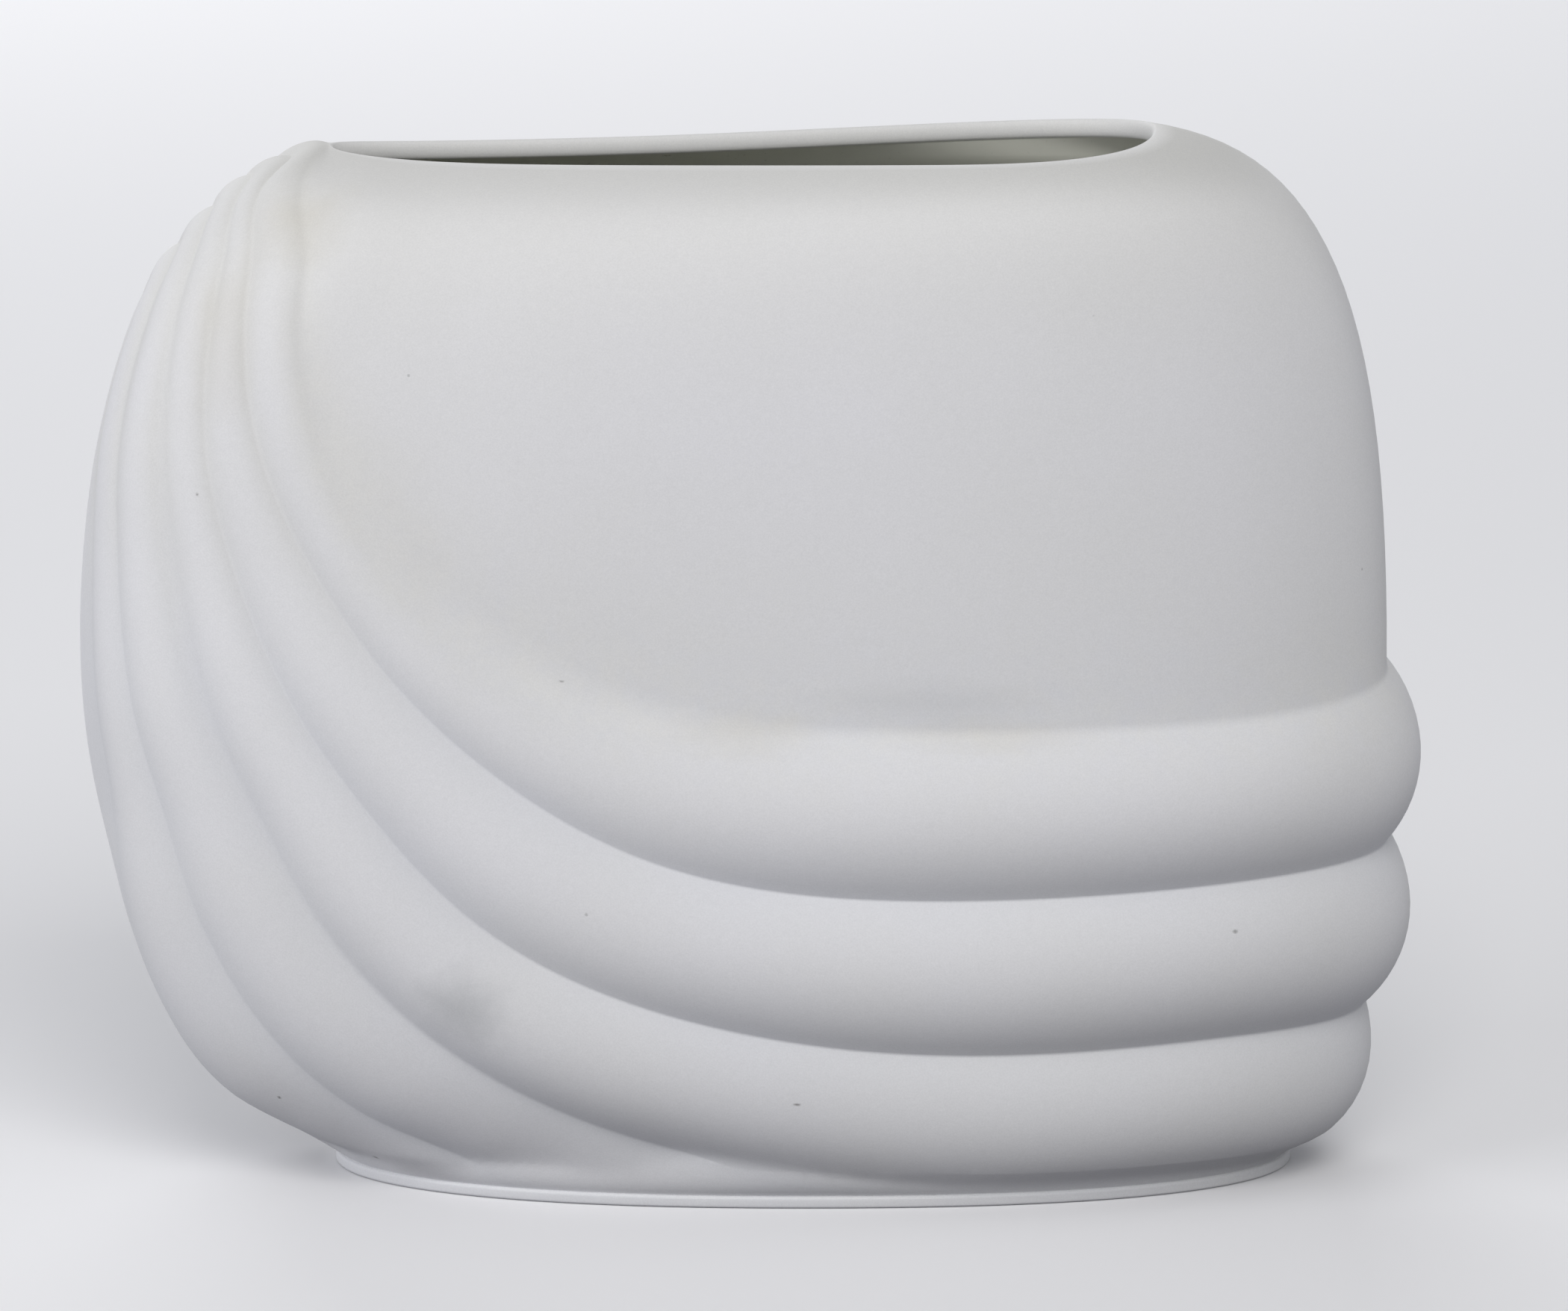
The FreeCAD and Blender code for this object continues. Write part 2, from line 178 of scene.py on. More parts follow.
# The hollow under the foot, on the inside of its ring: inset further than the ring's width, and
# height, in millimetres.
HOLLOW_EDGE = [(0.8, 1.2), (0.3, 1.0), (0.0, 0.3), (-0.3, 0.0)]
FOOT_STEPS = 360        # points round the foot
ROUNDING_STEPS = 6      # points of a quarter round

MERGE_STEPS = 1e4       # points closer than one such part of a millimetre become one
SAME_PLANE = 1e-7       # metres within which a point counts as lying in a cutting plane
FACING_DOWN = -0.99999  # a face whose normal's height is under this is a cut
TINY = 1e-9

ALONG = np.linspace(0.0, 1.0, STATIONS)


# ---- curves ----

def spline(pulls):
    """Clamped cubic B-spline at even parameters, one for each station: the sum of the pulls
    times basis weights, raised from degree 0 to degree 3 by the rule that each weight is the
    last degree's two neighbours blended by how far the parameter is through their spans."""
    pulls = np.asarray(pulls, float)
    spans = len(pulls) - 3
    knots = np.concatenate([np.zeros(3), np.arange(spans + 1.0), np.full(3, float(spans))])
    t = np.linspace(0.0, spans - TINY, STATIONS)[:, None]
    weights = ((knots[:-1] <= t) & (t < knots[1:])).astype(float)
    for degree in (1, 2, 3):
        n = len(knots) - degree - 1
        rising = knots[degree:degree + n] - knots[:n]
        falling = knots[degree + 1:degree + 1 + n] - knots[1:n + 1]
        left = np.where(rising > 0, (t - knots[:n]) / np.where(rising > 0, rising, 1), 0)
        right = np.where(falling > 0, (knots[degree + 1:degree + 1 + n] - t)
                         / np.where(falling > 0, falling, 1), 0)
        weights = left * weights[:, :n] + right * weights[:, 1:n + 1]
    return weights @ pulls


def share_at(rows, place):
    """Cubic Hermite curve through a table of (place, value) rows, each slope being the line
    between the row's two neighbours."""
    xs, ys = np.asarray(rows, float).T
    low = np.maximum(np.arange(len(xs)) - 1, 0)
    high = np.minimum(np.arange(len(xs)) + 1, len(xs) - 1)
    slopes = (ys[high] - ys[low]) / (xs[high] - xs[low])
    i = np.searchsorted(xs[1:-1], place)
    gap = xs[i + 1] - xs[i]
    t = (place - xs[i]) / gap
    start = ys[i] * (1 + 2 * t) * (1 - t) ** 2 + slopes[i] * gap * t * (1 - t) ** 2
    return start + ys[i + 1] * t * t * (3 - 2 * t) + slopes[i + 1] * gap * t * t * (t - 1)


def plan_points(bearing, height):
    """Superellipse of the plan section: with c and s the cosine and sine of the bearing, the
    reach is (|c|^n + |s|^n)^(-1/n), times the half length along X and the half depth along -Y."""
    left, right, half, fullness = [
        share_at([(row[0], row[k]) for row in PLAN], height) for k in (1, 2, 3, 4)
    ]
    c = np.cos(np.radians(bearing))
    s = np.sin(np.radians(bearing))
    reach = (np.abs(c) ** fullness + np.abs(s) ** fullness) ** (-1 / fullness)
    x = (left + right) / 2 + (right - left) / 2 * reach * c
    return np.stack([x * LENGTH, -half * reach * s * DEPTH, height * RIM_HEIGHT], axis=1)


def in_middle_plane(line):
    """The same line with both ends put exactly into the middle plane."""
    line = line.copy()
    line[0, 1] = 0.0
    line[-1, 1] = 0.0
    return line


def crease_line(pulls):
    """Spline in bearing and height, lifted onto the plan sections."""
    bearing, height = spline(pulls).T
    return in_middle_plane(plan_points(bearing, height))


def rim_line(drop):
    """Front half of the rim, lowered by a drop."""
    x, y, z = spline(RIM).T
    return in_middle_plane(np.stack([x * LENGTH, -y * DEPTH, z * RIM_HEIGHT - drop], axis=1))


def lengths(vectors):
    """Root of the sum of squares over the last axis."""
    return np.linalg.norm(vectors, axis=-1, keepdims=True)


def outward(line, chords):
    """Unit normals along a line: the downward chord crossed with the line's direction, which
    is square to the middle plane at both ends."""
    steps = np.gradient(line, axis=0)
    steps[0] = (0.0, -1.0, 0.0)
    steps[-1] = (0.0, 1.0, 0.0)
    normals = np.cross(chords, steps)
    return normals / lengths(normals)


# ---- bands of the outside, each pulled by four lines ----

def fold_band(upper, lower, rise):
    """Fold between two creases: both inner pulls stand over the chord by 4/3 of the rise."""
    chords = lower - upper
    handle = outward((upper + lower) / 2, chords) * lengths(chords)
    handle = handle * share_at(rise, ALONG)[:, None] * 4 / 3
    near, far = FOLD_SHOULDERS
    return [upper, upper + chords * near + handle, upper + chords * far + handle, lower]


def side_band(crease, crest):
    """Half of the side fold: from its crease it swells to the left and down, and it meets the
    crest square to the middle plane."""
    lean = np.array([-1.0, 0.0, -SIDE_LEAN]) / math.hypot(1.0, SIDE_LEAN)
    first = crease + (crest - crease) * SIDE_SHOULDER + lean * lengths(crest - crease) * SIDE_SWELL
    second = np.stack([crest[:, 0], crease[:, 1] * SIDE_DEPTH, crest[:, 2]], axis=1)
    return [crease, first, second, crest]


def panel_band(mouth, foot):
    """Smooth panel and shoulder: both pulls reach from the rim and from the top crease
    towards one bend point beside the rim."""
    shift = share_at(BEND_SHIFT, ALONG)
    bend = np.stack([foot[:, 0] + (mouth[:, 0] - foot[:, 0]) * shift,
                     foot[:, 1] * PANEL_LEAN, mouth[:, 2]], axis=1)
    bend[:, 2] -= lengths(bend - mouth)[:, 0] * share_at(SHOULDER_FALL, ALONG)
    reach = share_at(BEND_REACH, ALONG)[:, None]
    return [mouth, mouth + (bend - mouth) * reach, foot + (bend - foot) * reach, foot]


def lip_band(mouth, below):
    """Rounded edge of the wall: from under the rim up to it, swelling into the mouth."""
    inward = outward(mouth, np.tile([0.0, 0.0, 1.0], (STATIONS, 1))) * WALL * LIP_SWELL
    return [below, below + inward, mouth + inward, mouth]


def across(pulls, start, end, rows):
    """Cubic Bezier curve through the four pulls at each station, at even parameters between a
    start and an end that may differ from station to station."""
    t = np.linspace(0.0, 1.0, rows)[:, None]
    u = (start + (end - start) * t)[:, :, None]
    a, b, c, d = pulls
    return a * (1 - u) ** 3 + 3 * b * u * (1 - u) ** 2 + 3 * c * u * u * (1 - u) + d * u ** 3


def softened(before, crease, after):
    """Quadratic curve from the last row before a crease to the first one after it, with the
    crease line as its pull."""
    t = np.linspace(0.0, 1.0, CREASE_ROWS + 2)[1:-1, None, None]
    return before * (1 - t) ** 2 + 2 * crease * t * (1 - t) + after * t * t


def trims(handle, softness):
    """Share of a band given up at one end: the softness over three times the handle, which is
    the band's speed there, so that it is the softness's length in millimetres."""
    return np.minimum(softness / (3 * lengths(handle)[:, 0] + TINY), MOST_TRIMMED)


def outside_rows():
    """Rows from the rim down over the panel and the folds to the side crest; the painted light
    of each row, 0 in a crease, where the colour paints shade, and 1 on top of a fold, where it
    paints light; and its handling, 1 at the top crease and fading over the fold under it."""
    mouth = rim_line(0.0)
    creases = [crease_line(pulls) for pulls in CREASES]
    x, z = spline(SIDE_CREST).T
    crest = np.stack([x * LENGTH, np.zeros(STATIONS), z * RIM_HEIGHT], axis=1)
    rises = [FOLD_RISE, FOLD_RISE, LOWEST_FOLD_RISE, FADING_FOLD_RISE, FADING_FOLD_RISE]
    bands = [panel_band(mouth, creases[0])]
    bands += [fold_band(*pair) for pair in zip(creases, creases[1:], rises)]
    bands += [side_band(creases[-1], crest)]
    soft = [PANEL_CREASE_SOFTNESS, CREASE_SOFTNESS, CREASE_SOFTNESS, FOURTH_CREASE_SOFTNESS,
            CREASE_SOFTNESS, CREASE_SOFTNESS]
    soft = [share_at(table, ALONG) for table in soft]
    last = len(bands) - 1
    counts = [PANEL_ROWS] + [FOLD_ROWS] * (last - 1) + [SIDE_ROWS]
    rows, painted_lights, handled = [], [], []
    for k, (band, count) in enumerate(zip(bands, counts)):
        start = trims(band[1] - band[0], soft[k - 1]) if k else np.zeros(STATIONS)
        end = 1 - trims(band[3] - band[2], soft[k]) if k < last else np.ones(STATIONS)
        piece = across(band, start, end, count)
        if rows:
            rows.append(softened(rows[-1][-1], band[0], piece[0]))
            # Crease rows take full painted shade.
            painted_lights.append(np.zeros(CREASE_ROWS))
            handled.append(np.full(CREASE_ROWS, 1.0 if k == 1 else 0.0))
        rows.append(piece)
        u = np.linspace(0.0, 1.0, count)
        # Painted light on top of each fold, painted shade towards its creases; the panel takes
        # painted shade only close to its top crease.
        painted_lights.append(1 - u ** PANEL_SHADE_POWER if k == 0
                      else np.sin(np.pi * u / (2 if k == last else 1)))
        handled.append([u ** PANEL_HANDLED_POWER, (1 - u) ** 2, 0 * u][min(k, 2)])
    return np.concatenate(rows), np.concatenate(painted_lights), np.concatenate(handled)


def cavity_rows():
    """Rows from the middle of the floor up the inside to just under the lip: plan sections
    drawn in by wall x (inset + left x (-cos bearing)^power), and between them upwards a cubic
    Hermite curve whose slope at each is the line between its two neighbours."""
    bearing = 180 - 180 * ALONG
    aim = np.stack([np.cos(np.radians(bearing)), -np.sin(np.radians(bearing))], axis=1)

    def section(height, inset, left, drop):
        """Plan section at a height share, drawn in and lowered by shares of the wall."""
        points = plan_points(bearing, np.full(STATIONS, height))
        drawn = inset + left * np.maximum(0.0, -aim[:, :1]) ** LEFT_END_POWER
        points[:, :2] -= aim * drawn * WALL
        points[:, 2] -= drop * WALL
        return in_middle_plane(points)

    level = FOOT_HEIGHT + FLOOR_THICKNESS
    corner = section(level / RIM_HEIGHT, 1.0, 0.0, 0.0)
    sections = [section(*row) for row in CAVITY]
    stack = np.array([corner] + sections + [rim_line(WALL)])
    low = np.maximum(np.arange(len(stack)) - 1, 0)
    high = np.minimum(np.arange(len(stack)) + 1, len(stack) - 1)
    slopes = (stack[high] - stack[low]) / (high - low)[:, None, None]
    place = np.linspace(0.0, len(stack) - 1.0, CAVITY_ROWS)
    i = np.minimum(place.astype(int), len(stack) - 2)
    t = (place - i)[:, None, None]
    wall = (stack[i] * (1 + 2 * t) * (1 - t) ** 2 + slopes[i] * t * (1 - t) ** 2
            + stack[i + 1] * t * t * (3 - 2 * t) + slopes[i + 1] * t * t * (t - 1))
    middle = np.array([corner[:, 0].mean(), 0.0, corner[0, 2]])
    floor = [middle + (corner - middle) * share for share in FLOOR_SHARES]
    for share, lift in FLOOR_ROUNDING:
        row = middle + (corner - middle) * share
        row[:, 2] += lift
        floor.append(row)
    return np.concatenate([np.array(floor), wall[1:]])


# ---- meshes ----

def mesh_object(name, points, faces, materials, kinds=None, layers=None):
    """Object from points in millimetres; points that share a place become one, and faces that
    lose a corner by it are left out. Kinds give each face's material, and layers a value for
    each point under a name that the materials read."""
    keys = np.round(points * MERGE_STEPS).astype(np.int64)
    _, first, index = np.unique(keys, axis=0, return_index=True, return_inverse=True)
    faces = index.reshape(-1)[faces]
    whole = ((faces[:, 0] != faces[:, 1]) & (faces[:, 1] != faces[:, 2])
             & (faces[:, 2] != faces[:, 0]))
    faces = faces[whole]
    mesh = bpy.data.meshes.new(name)
    mesh.from_pydata(points[first] * MM, [], faces)
    mesh.polygons.foreach_set("use_smooth", np.ones(len(faces), bool))
    if kinds is not None:
        mesh.polygons.foreach_set("material_index", kinds[whole].astype(np.int32))
    for layer, values in (layers or {}).items():
        made = mesh.attributes.new(layer, "FLOAT", "POINT").data
        made.foreach_set("value", values[first].astype(np.float32))
    for material in materials:
        mesh.materials.append(material)
    mesh.update()
    made = bpy.data.objects.new(name, mesh)
    bpy.context.scene.collection.objects.link(made)
    return made


def grid_triangles(rows, columns, closed=False):
    """Two triangles for each cell of a grid whose points are numbered row by row; a closed
    grid joins its last column to its first."""
    cells = columns if closed else columns - 1
    r, c = np.meshgrid(np.arange(rows - 1), np.arange(cells), indexing="ij")
    a = r * columns + c
    b = r * columns + (c + 1) % columns
    quads = np.stack([a, a + columns, b + columns, b], axis=-1).reshape(-1, 4)
    return np.concatenate([quads[:, [0, 1, 2]], quads[:, [0, 2, 3]]])


def cut_at(obj, level, rings):
    """Takes away what lies under a level, closes the cut with a flat face, and gives the
    surface corners where it passes some further levels."""
    shape = bmesh.new()
    shape.from_mesh(obj.data)
    for height in (level, *rings):
        bmesh.ops.bisect_plane(shape, geom=shape.verts[:] + shape.edges[:] + shape.faces[:],
                               dist=SAME_PLANE, plane_co=(0, 0, height * MM), plane_no=(0, 0, 1),
                               clear_inner=height == level)
    closed = bmesh.ops.holes_fill(shape, edges=shape.edges[:], sides=0)
    for edge in {edge for face in closed["faces"] for edge in face.edges}:
        edge.smooth = False
    bmesh.ops.triangulate(shape, faces=shape.faces[:])
    shape.to_mesh(obj.data)
    shape.free()
    normals = np.empty(len(obj.data.polygons) * 3, np.float32)
    obj.data.polygons.foreach_get("normal", normals)
    obj.data.polygons.foreach_set("use_smooth", normals[2::3] > FACING_DOWN)


def run_out(points):
    """Places near the foot in a smooth undercut. The undercut keeps a distance to the foot's
    superellipse of d = undercut (1 - exp(-(z - top) / height)) - ledge, and with
    k = (|x/a|^n + |y/b|^n)^(1/n) it lies at k0 = 1 + d k / |p|. Places inside it go out to it
    by a rounded maximum, and below the run-out height all are drawn to it by t^power, with t
    from 0 there to 1 at the top of the foot. The foot's middle, where none of this shows, is
    kept out of the divisions."""
    shares = np.abs(points[..., :2]) / (FOOT_LENGTH / 2, FOOT_DEPTH / 2)
    k = np.maximum((shares ** FOOT_FULLNESS).sum(axis=-1) ** (1 / FOOT_FULLNESS), 1 / 2)
    over = np.maximum(points[..., 2] - FOOT_HEIGHT, 0.0)
    distance = UNDERCUT * (1 - np.exp(-over / UNDERCUT_HEIGHT)) - FOOT_LEDGE
    reach = np.maximum(np.hypot(points[..., 0], points[..., 1]), FOOT_DEPTH / 4)
    edge = 1 + distance * k / reach
    out = (k + edge + np.hypot(k - edge, UNDERCUT_BLEND)) / 2
    t = np.clip((RUN_OUT_HEIGHT - points[..., 2]) / (RUN_OUT_HEIGHT - FOOT_HEIGHT), 0.0, 1.0)
    drawn = points.copy()
    drawn[..., :2] *= ((out + t ** RUN_OUT_POWER * (edge - out)) / k)[..., None]
    near = np.clip(RUN_OUT_FADE - points[..., 2:] / RUN_OUT_HEIGHT, 0.0, 1.0)
    return points + near * (drawn - points)


def settle(obj):
    """Gives the outside of a mesh, which has its first material, the undercut near the foot."""
    mesh = obj.data
    places = np.empty(len(mesh.vertices) * 3)
    mesh.vertices.foreach_get("co", places)
    places = places.reshape(-1, 3)
    corners = np.empty(len(mesh.loops), np.int32)
    mesh.loops.foreach_get("vertex_index", corners)
    kinds = np.empty(len(mesh.polygons), np.int32)
    mesh.polygons.foreach_get("material_index", kinds)
    outside = np.unique(corners[np.repeat(kinds == 0, 3)])
    places[outside] = run_out(places[outside] / MM) * MM
    mesh.vertices.foreach_set("co", places.ravel())
    mesh.update()


def vase_shell(outside, inside):
    """Closed shell: floor, inside, lip and folded outside of the front half, and its mirror
    image at the back with the corners of each face in the other order. Its layers are the
    outside (1 there, 0 inside and on the lip), the painted light (1 on top of the folds, 0 in
    the creases, which take painted shade) and the handling."""
    outer, painted_light, handled = outside_rows()
    cavity = cavity_rows()
    lip = across(lip_band(rim_line(0.0), rim_line(WALL)), np.zeros(STATIONS),
                 np.ones(STATIONS), LIP_ROWS)
    grid = np.concatenate([cavity[:-1], lip, outer[1:]])
    grid[:, 0, 1] = 0.0
    grid[:, -1, 1] = 0.0
    grid[-1, :, 1] = 0.0
    rows = len(grid)
    under = rows - len(painted_light[1:])
    layers = {"outside": np.concatenate([np.zeros(under), np.ones(rows - under)]),
              "painted_light": np.concatenate([np.ones(under), painted_light[1:]]),
              "handled": np.concatenate([np.zeros(under), handled[1:]])}
    front = grid.reshape(-1, 3)
    faces = grid_triangles(rows, STATIONS)
    kinds = (faces[:, 0] // STATIONS < len(cavity) - 1).astype(int)
    points = np.concatenate([front, front * (1, -1, 1)])
    faces = np.concatenate([faces, faces[:, ::-1] + len(front)])
    shell = mesh_object("vase_body_skin", points, faces, [outside, inside],
                        np.tile(kinds, 2),
                        {key: np.tile(np.repeat(v, STATIONS), 2) for key, v in layers.items()})
    cut_at(shell, FOOT_HEIGHT - SUNK, FOOT_RINGS)
    settle(shell)
    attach(shell, "root")
    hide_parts("vase_body")


def foot_plate(outside):
    """Profile of inset and height carried round the foot's superellipse, (half size - inset)
    times (|c|^n + |s|^n)^(-1/n): top face, rounded outer edge, underside of the ring, and the
    shallow hollow inside the ring."""
    turn = np.linspace(0.0, 2 * np.pi, FOOT_STEPS, endpoint=False)
    c, s = np.cos(turn), np.sin(turn)
    reach = (np.abs(c) ** FOOT_FULLNESS + np.abs(s) ** FOOT_FULLNESS) ** (-1 / FOOT_FULLNESS)
    quarter = np.linspace(0.0, np.pi / 2, ROUNDING_STEPS)
    r = FOOT_ROUNDING
    low = np.stack([r * (1 - np.sin(quarter)), r * (1 - np.cos(quarter))], axis=1)
    high = np.stack([r * (1 - np.cos(quarter)), FOOT_HEIGHT - r * (1 - np.sin(quarter))], axis=1)
    half = FOOT_DEPTH / 2
    hollow = [(half, FOOT_RECESS)] + [(FOOT_RING + inset, height) for inset, height in HOLLOW_EDGE]
    profile = np.concatenate([hollow, low, high, [(half, FOOT_HEIGHT)]])[::-1]
    inset, height = profile.T
    x = (FOOT_LENGTH / 2 - inset[:, None]) * reach * c
    y = (FOOT_DEPTH / 2 - inset[:, None]) * reach * s
    z = np.repeat(height[:, None], len(turn), axis=1)
    grid = np.stack([x, y, z], axis=-1)
    faces = grid_triangles(len(profile), len(turn), closed=True)
    # The foot takes the crease colour all over: painted shade.
    plate = mesh_object("foot_plate", grid.reshape(-1, 3), faces, [outside],
                        layers={"painted_light": np.zeros(grid.size // 3)})
    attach(plate, "root")
    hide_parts("foot_plinth")


# ---- materials ----

def node_group(name, inputs, outputs):
    """Empty shader group with named inputs (name, kind, value) and outputs (name, kind)."""
    group = bpy.data.node_groups.new(name, "ShaderNodeTree")
    for label, kind, value in inputs:
        socket = group.interface.new_socket(label, in_out="INPUT", socket_type=kind)
        if value is not None:
            socket.default_value = value
    for label, kind in outputs:
        group.interface.new_socket(label, in_out="OUTPUT", socket_type=kind)
    return group, group.nodes.new("NodeGroupInput"), group.nodes.new("NodeGroupOutput")


def add(tree, kind, settings=None, **values):
    """Node with its settings, and with values or links put into its named inputs."""
    made = tree.nodes.new(kind)
    for name, value in (settings or {}).items():
        setattr(made, name, value)
    for name, value in values.items():
        put(tree, made, name.replace("_", " "), value)
    return made


def put(tree, node, name, value):
    """Links a socket to a node's input, or sets the input's value; a number as the name is the
    input's place in the row."""
    socket = node.inputs[int(name)] if name.isdigit() else node.inputs[name]
    if isinstance(value, bpy.types.NodeSocket):
        tree.links.new(value, socket)
    else:
        socket.default_value = value


def math_node(tree, operation, *values, clamp=False):
    """Result of a sum on values or links."""
    made = tree.nodes.new("ShaderNodeMath")
    made.operation = operation
    made.use_clamp = clamp
    for i, value in enumerate(values):
        put(tree, made, str(i), value)
    return made.outputs[0]


def mixed(tree, share, first, second, blend="MIX"):
    """Colour mix of two colours by a share."""
    made = tree.nodes.new("ShaderNodeMix")
    made.data_type = "RGBA"
    made.blend_type = blend
    put(tree, made, "0", share)
    put(tree, made, "6", first)
    put(tree, made, "7", second)
    return made.outputs[2]


def grey(tree, value):
    """Grey colour of a value."""
    return add(tree, "ShaderNodeCombineColor", Red=value, Green=value, Blue=value).outputs[0]


def ramp(tree, value, start, end, kind="SMOOTHSTEP"):
    """Share that goes from 0 where a value is at the start to 1 where it is at the end."""
    return add(tree, "ShaderNodeMapRange", {"interpolation_type": kind}, Value=value,
               From_Min=start, From_Max=end).outputs[0]


def layer_value(tree, name):
    """Value that the mesh keeps at each point under a name."""
    return add(tree, "ShaderNodeAttribute", {"attribute_name": name}).outputs["Fac"]


def seen_share(tree):
    """1 for what the camera sees, also by a reflection or through glass, and otherwise 0."""
    path = tree.nodes.new("ShaderNodeLightPath")
    seen = math_node(tree, "ADD", path.outputs["Is Camera Ray"], path.outputs["Is Glossy Ray"])
    return math_node(tree, "ADD", seen, path.outputs["Is Transmission Ray"], clamp=True)


# The grain's noises: the tooth is a fine noise with a coarser one in it, and the cloud is much
# larger. Scales of the two others are shares of the fine one's.
TOOTH_SCALE = 2600.0
COARSE_SCALE = 0.22
CLOUD_SCALE = 0.006
FINE_WEIGHT = 0.85
COARSE_WEIGHT = 0.15


def grain_group():
    """Fine tooth of unglazed clay: two sizes of noise as a height, and a soft cloud as a mask."""
    group, source, end = node_group(
        "clay_grain",
        [("Vector", "NodeSocketVector", None), ("Scale", "NodeSocketFloat", TOOTH_SCALE)],
        [("Height", "NodeSocketFloat"), ("Cloud", "NodeSocketFloat")])
    fine = add(group, "ShaderNodeTexNoise", Vector=source.outputs[0], Scale=source.outputs[1],
               Detail=3.0, Roughness=0.6)
    coarse = add(group, "ShaderNodeTexNoise", Vector=source.outputs[0],
                 Scale=math_node(group, "MULTIPLY", source.outputs[1], COARSE_SCALE),
                 Detail=1.0)
    cloud = add(group, "ShaderNodeTexNoise", Vector=source.outputs[0],
                Scale=math_node(group, "MULTIPLY", source.outputs[1], CLOUD_SCALE),
                Detail=3.0, Roughness=0.55)
    height = math_node(group, "ADD",
                       math_node(group, "MULTIPLY", fine.outputs[0], FINE_WEIGHT),
                       math_node(group, "MULTIPLY", coarse.outputs[0], COARSE_WEIGHT))
    group.links.new(height, end.inputs[0])
    group.links.new(cloud.outputs[0], end.inputs[1])
    return group


def speck_group():
    """Tiny dark specks: one cell in many keeps a round dot at its middle."""
    group, source, end = node_group(
        "kiln_specks",
        [("Vector", "NodeSocketVector", None), ("Scale", "NodeSocketFloat", 90.0),
         ("Share", "NodeSocketFloat", 0.05), ("Size", "NodeSocketFloat", 0.05)],
        [("Mask", "NodeSocketFloat")])
    cells = add(group, "ShaderNodeTexVoronoi", Vector=source.outputs[0], Scale=source.outputs[1])
    chance = add(group, "ShaderNodeSeparateColor", Color=cells.outputs["Color"])
    kept = math_node(group, "LESS_THAN", chance.outputs[0], source.outputs[2])
    dot = math_node(group, "SUBTRACT", 1.0,
                    math_node(group, "DIVIDE", cells.outputs["Distance"], source.outputs[3]),
                    clamp=True)
    group.links.new(math_node(group, "MULTIPLY", kept, dot), end.inputs[0])
    return group


def mark_group():
    """Soft round mark about a place, broken up at its edge by noise."""
    group, source, end = node_group(
        "soft_mark",
        [("Vector", "NodeSocketVector", None), ("Place", "NodeSocketVector", None),
         ("Spread", "NodeSocketVector", (0.01, 0.01, 0.01)), ("Break", "NodeSocketFloat", 0.5)],
        [("Mask", "NodeSocketFloat")])
    offset = add(group, "ShaderNodeVectorMath", {"operation": "SUBTRACT"})
    group.links.new(source.outputs[0], offset.inputs[0])
    group.links.new(source.outputs[1], offset.inputs[1])
    scaled = add(group, "ShaderNodeVectorMath", {"operation": "DIVIDE"})
    group.links.new(offset.outputs[0], scaled.inputs[0])
    group.links.new(source.outputs[2], scaled.inputs[1])
    far = add(group, "ShaderNodeVectorMath", {"operation": "LENGTH"})
    group.links.new(scaled.outputs[0], far.inputs[0])
    noise = add(group, "ShaderNodeTexNoise", Vector=scaled.outputs[0], Scale=1.7, Detail=3.0)
    rough = math_node(group, "MULTIPLY", math_node(group, "SUBTRACT", noise.outputs[0], 0.5),
                      source.outputs[3])
    reach = math_node(group, "ADD", far.outputs["Value"], rough)
    group.links.new(ramp(group, reach, 1.0, 0.0), end.inputs[0])
    return group


GRAIN = grain_group()
SPECKS = speck_group()
MARK = mark_group()

# Marks on the bisque: place and spread in millimetres, how much of the mark's colour shows.
STAIN_MARKS = [
    ((-108, -28, 211), (18, 15, 13), 0.42),
    ((-124, -33, 190), (13, 13, 28), 0.34),
    ((-82, -47, 141), (10, 12, 14), 0.08),
    ((-15, -52, 107), (22, 12, 7), 0.30),
    ((36, -50, 106), (30, 12, 5), 0.30),
]
# The first mark is a patch of painted shade in a dip of the lowest folds, the second a grey
# smudge.
SMUDGE_AND_SHADE_MARKS = [
    ((-74, -52, 47), (14, 16, 13), 0.55),
    ((24, -50, 113), (34, 14, 7), 0.22),
]
SPECK_MARKS = [
    ((-129, -38, 155), (0.5, 0.5, 0.6), 0.8),
    ((-35, -50, 124.4), (0.5, 0.5, 0.5), 0.9),
    ((-53, -51, 118), (0.9, 0.6, 0.4), 0.7),
    ((-48, -56, 69.3), (0.6, 0.7, 0.6), 0.8),
    ((88, -46, 62.7), (0.9, 0.9, 0.6), 0.8),
    ((-4, -52, 26.6), (1.2, 0.7, 0.5), 0.8),
    ((-114, -30, 21.8), (0.7, 0.7, 0.7), 0.8),
    ((-94, -24, 6.6), (1.4, 1.0, 0.7), 0.7),
]


# Colours of the clay, from the creases to the lip, and of its marks. The crease colours, the rim
# grey and the under-lip grey are painted shade, the white is painted light on top of the folds,
# and the smudge grey also paints shade in one patch.
CREASE_SHADE_LOW = (0.690, 0.696, 0.718, 1)
CREASE_SHADE_HIGH = (0.702, 0.700, 0.690, 1)
PAINTED_LIGHT_WHITE = (0.763, 0.763, 0.777, 1)
HANDLED_CREAM = (0.748, 0.738, 0.700, 1)
CLOUD_GREY = (0.715, 0.715, 0.700, 1)
RIM_SHADE_GREY = (0.690, 0.687, 0.663, 1)
UNDER_LIP_SHADE_GREY = (0.600, 0.598, 0.575, 1)
STAIN_TAN = (0.60, 0.575, 0.50, 1)
SMUDGE_AND_SHADE_GREY = (0.45, 0.46, 0.47, 1)
SPECK_BLACK = (0.16, 0.15, 0.14, 1)
KILN_GREY = (0.20, 0.20, 0.20, 1)

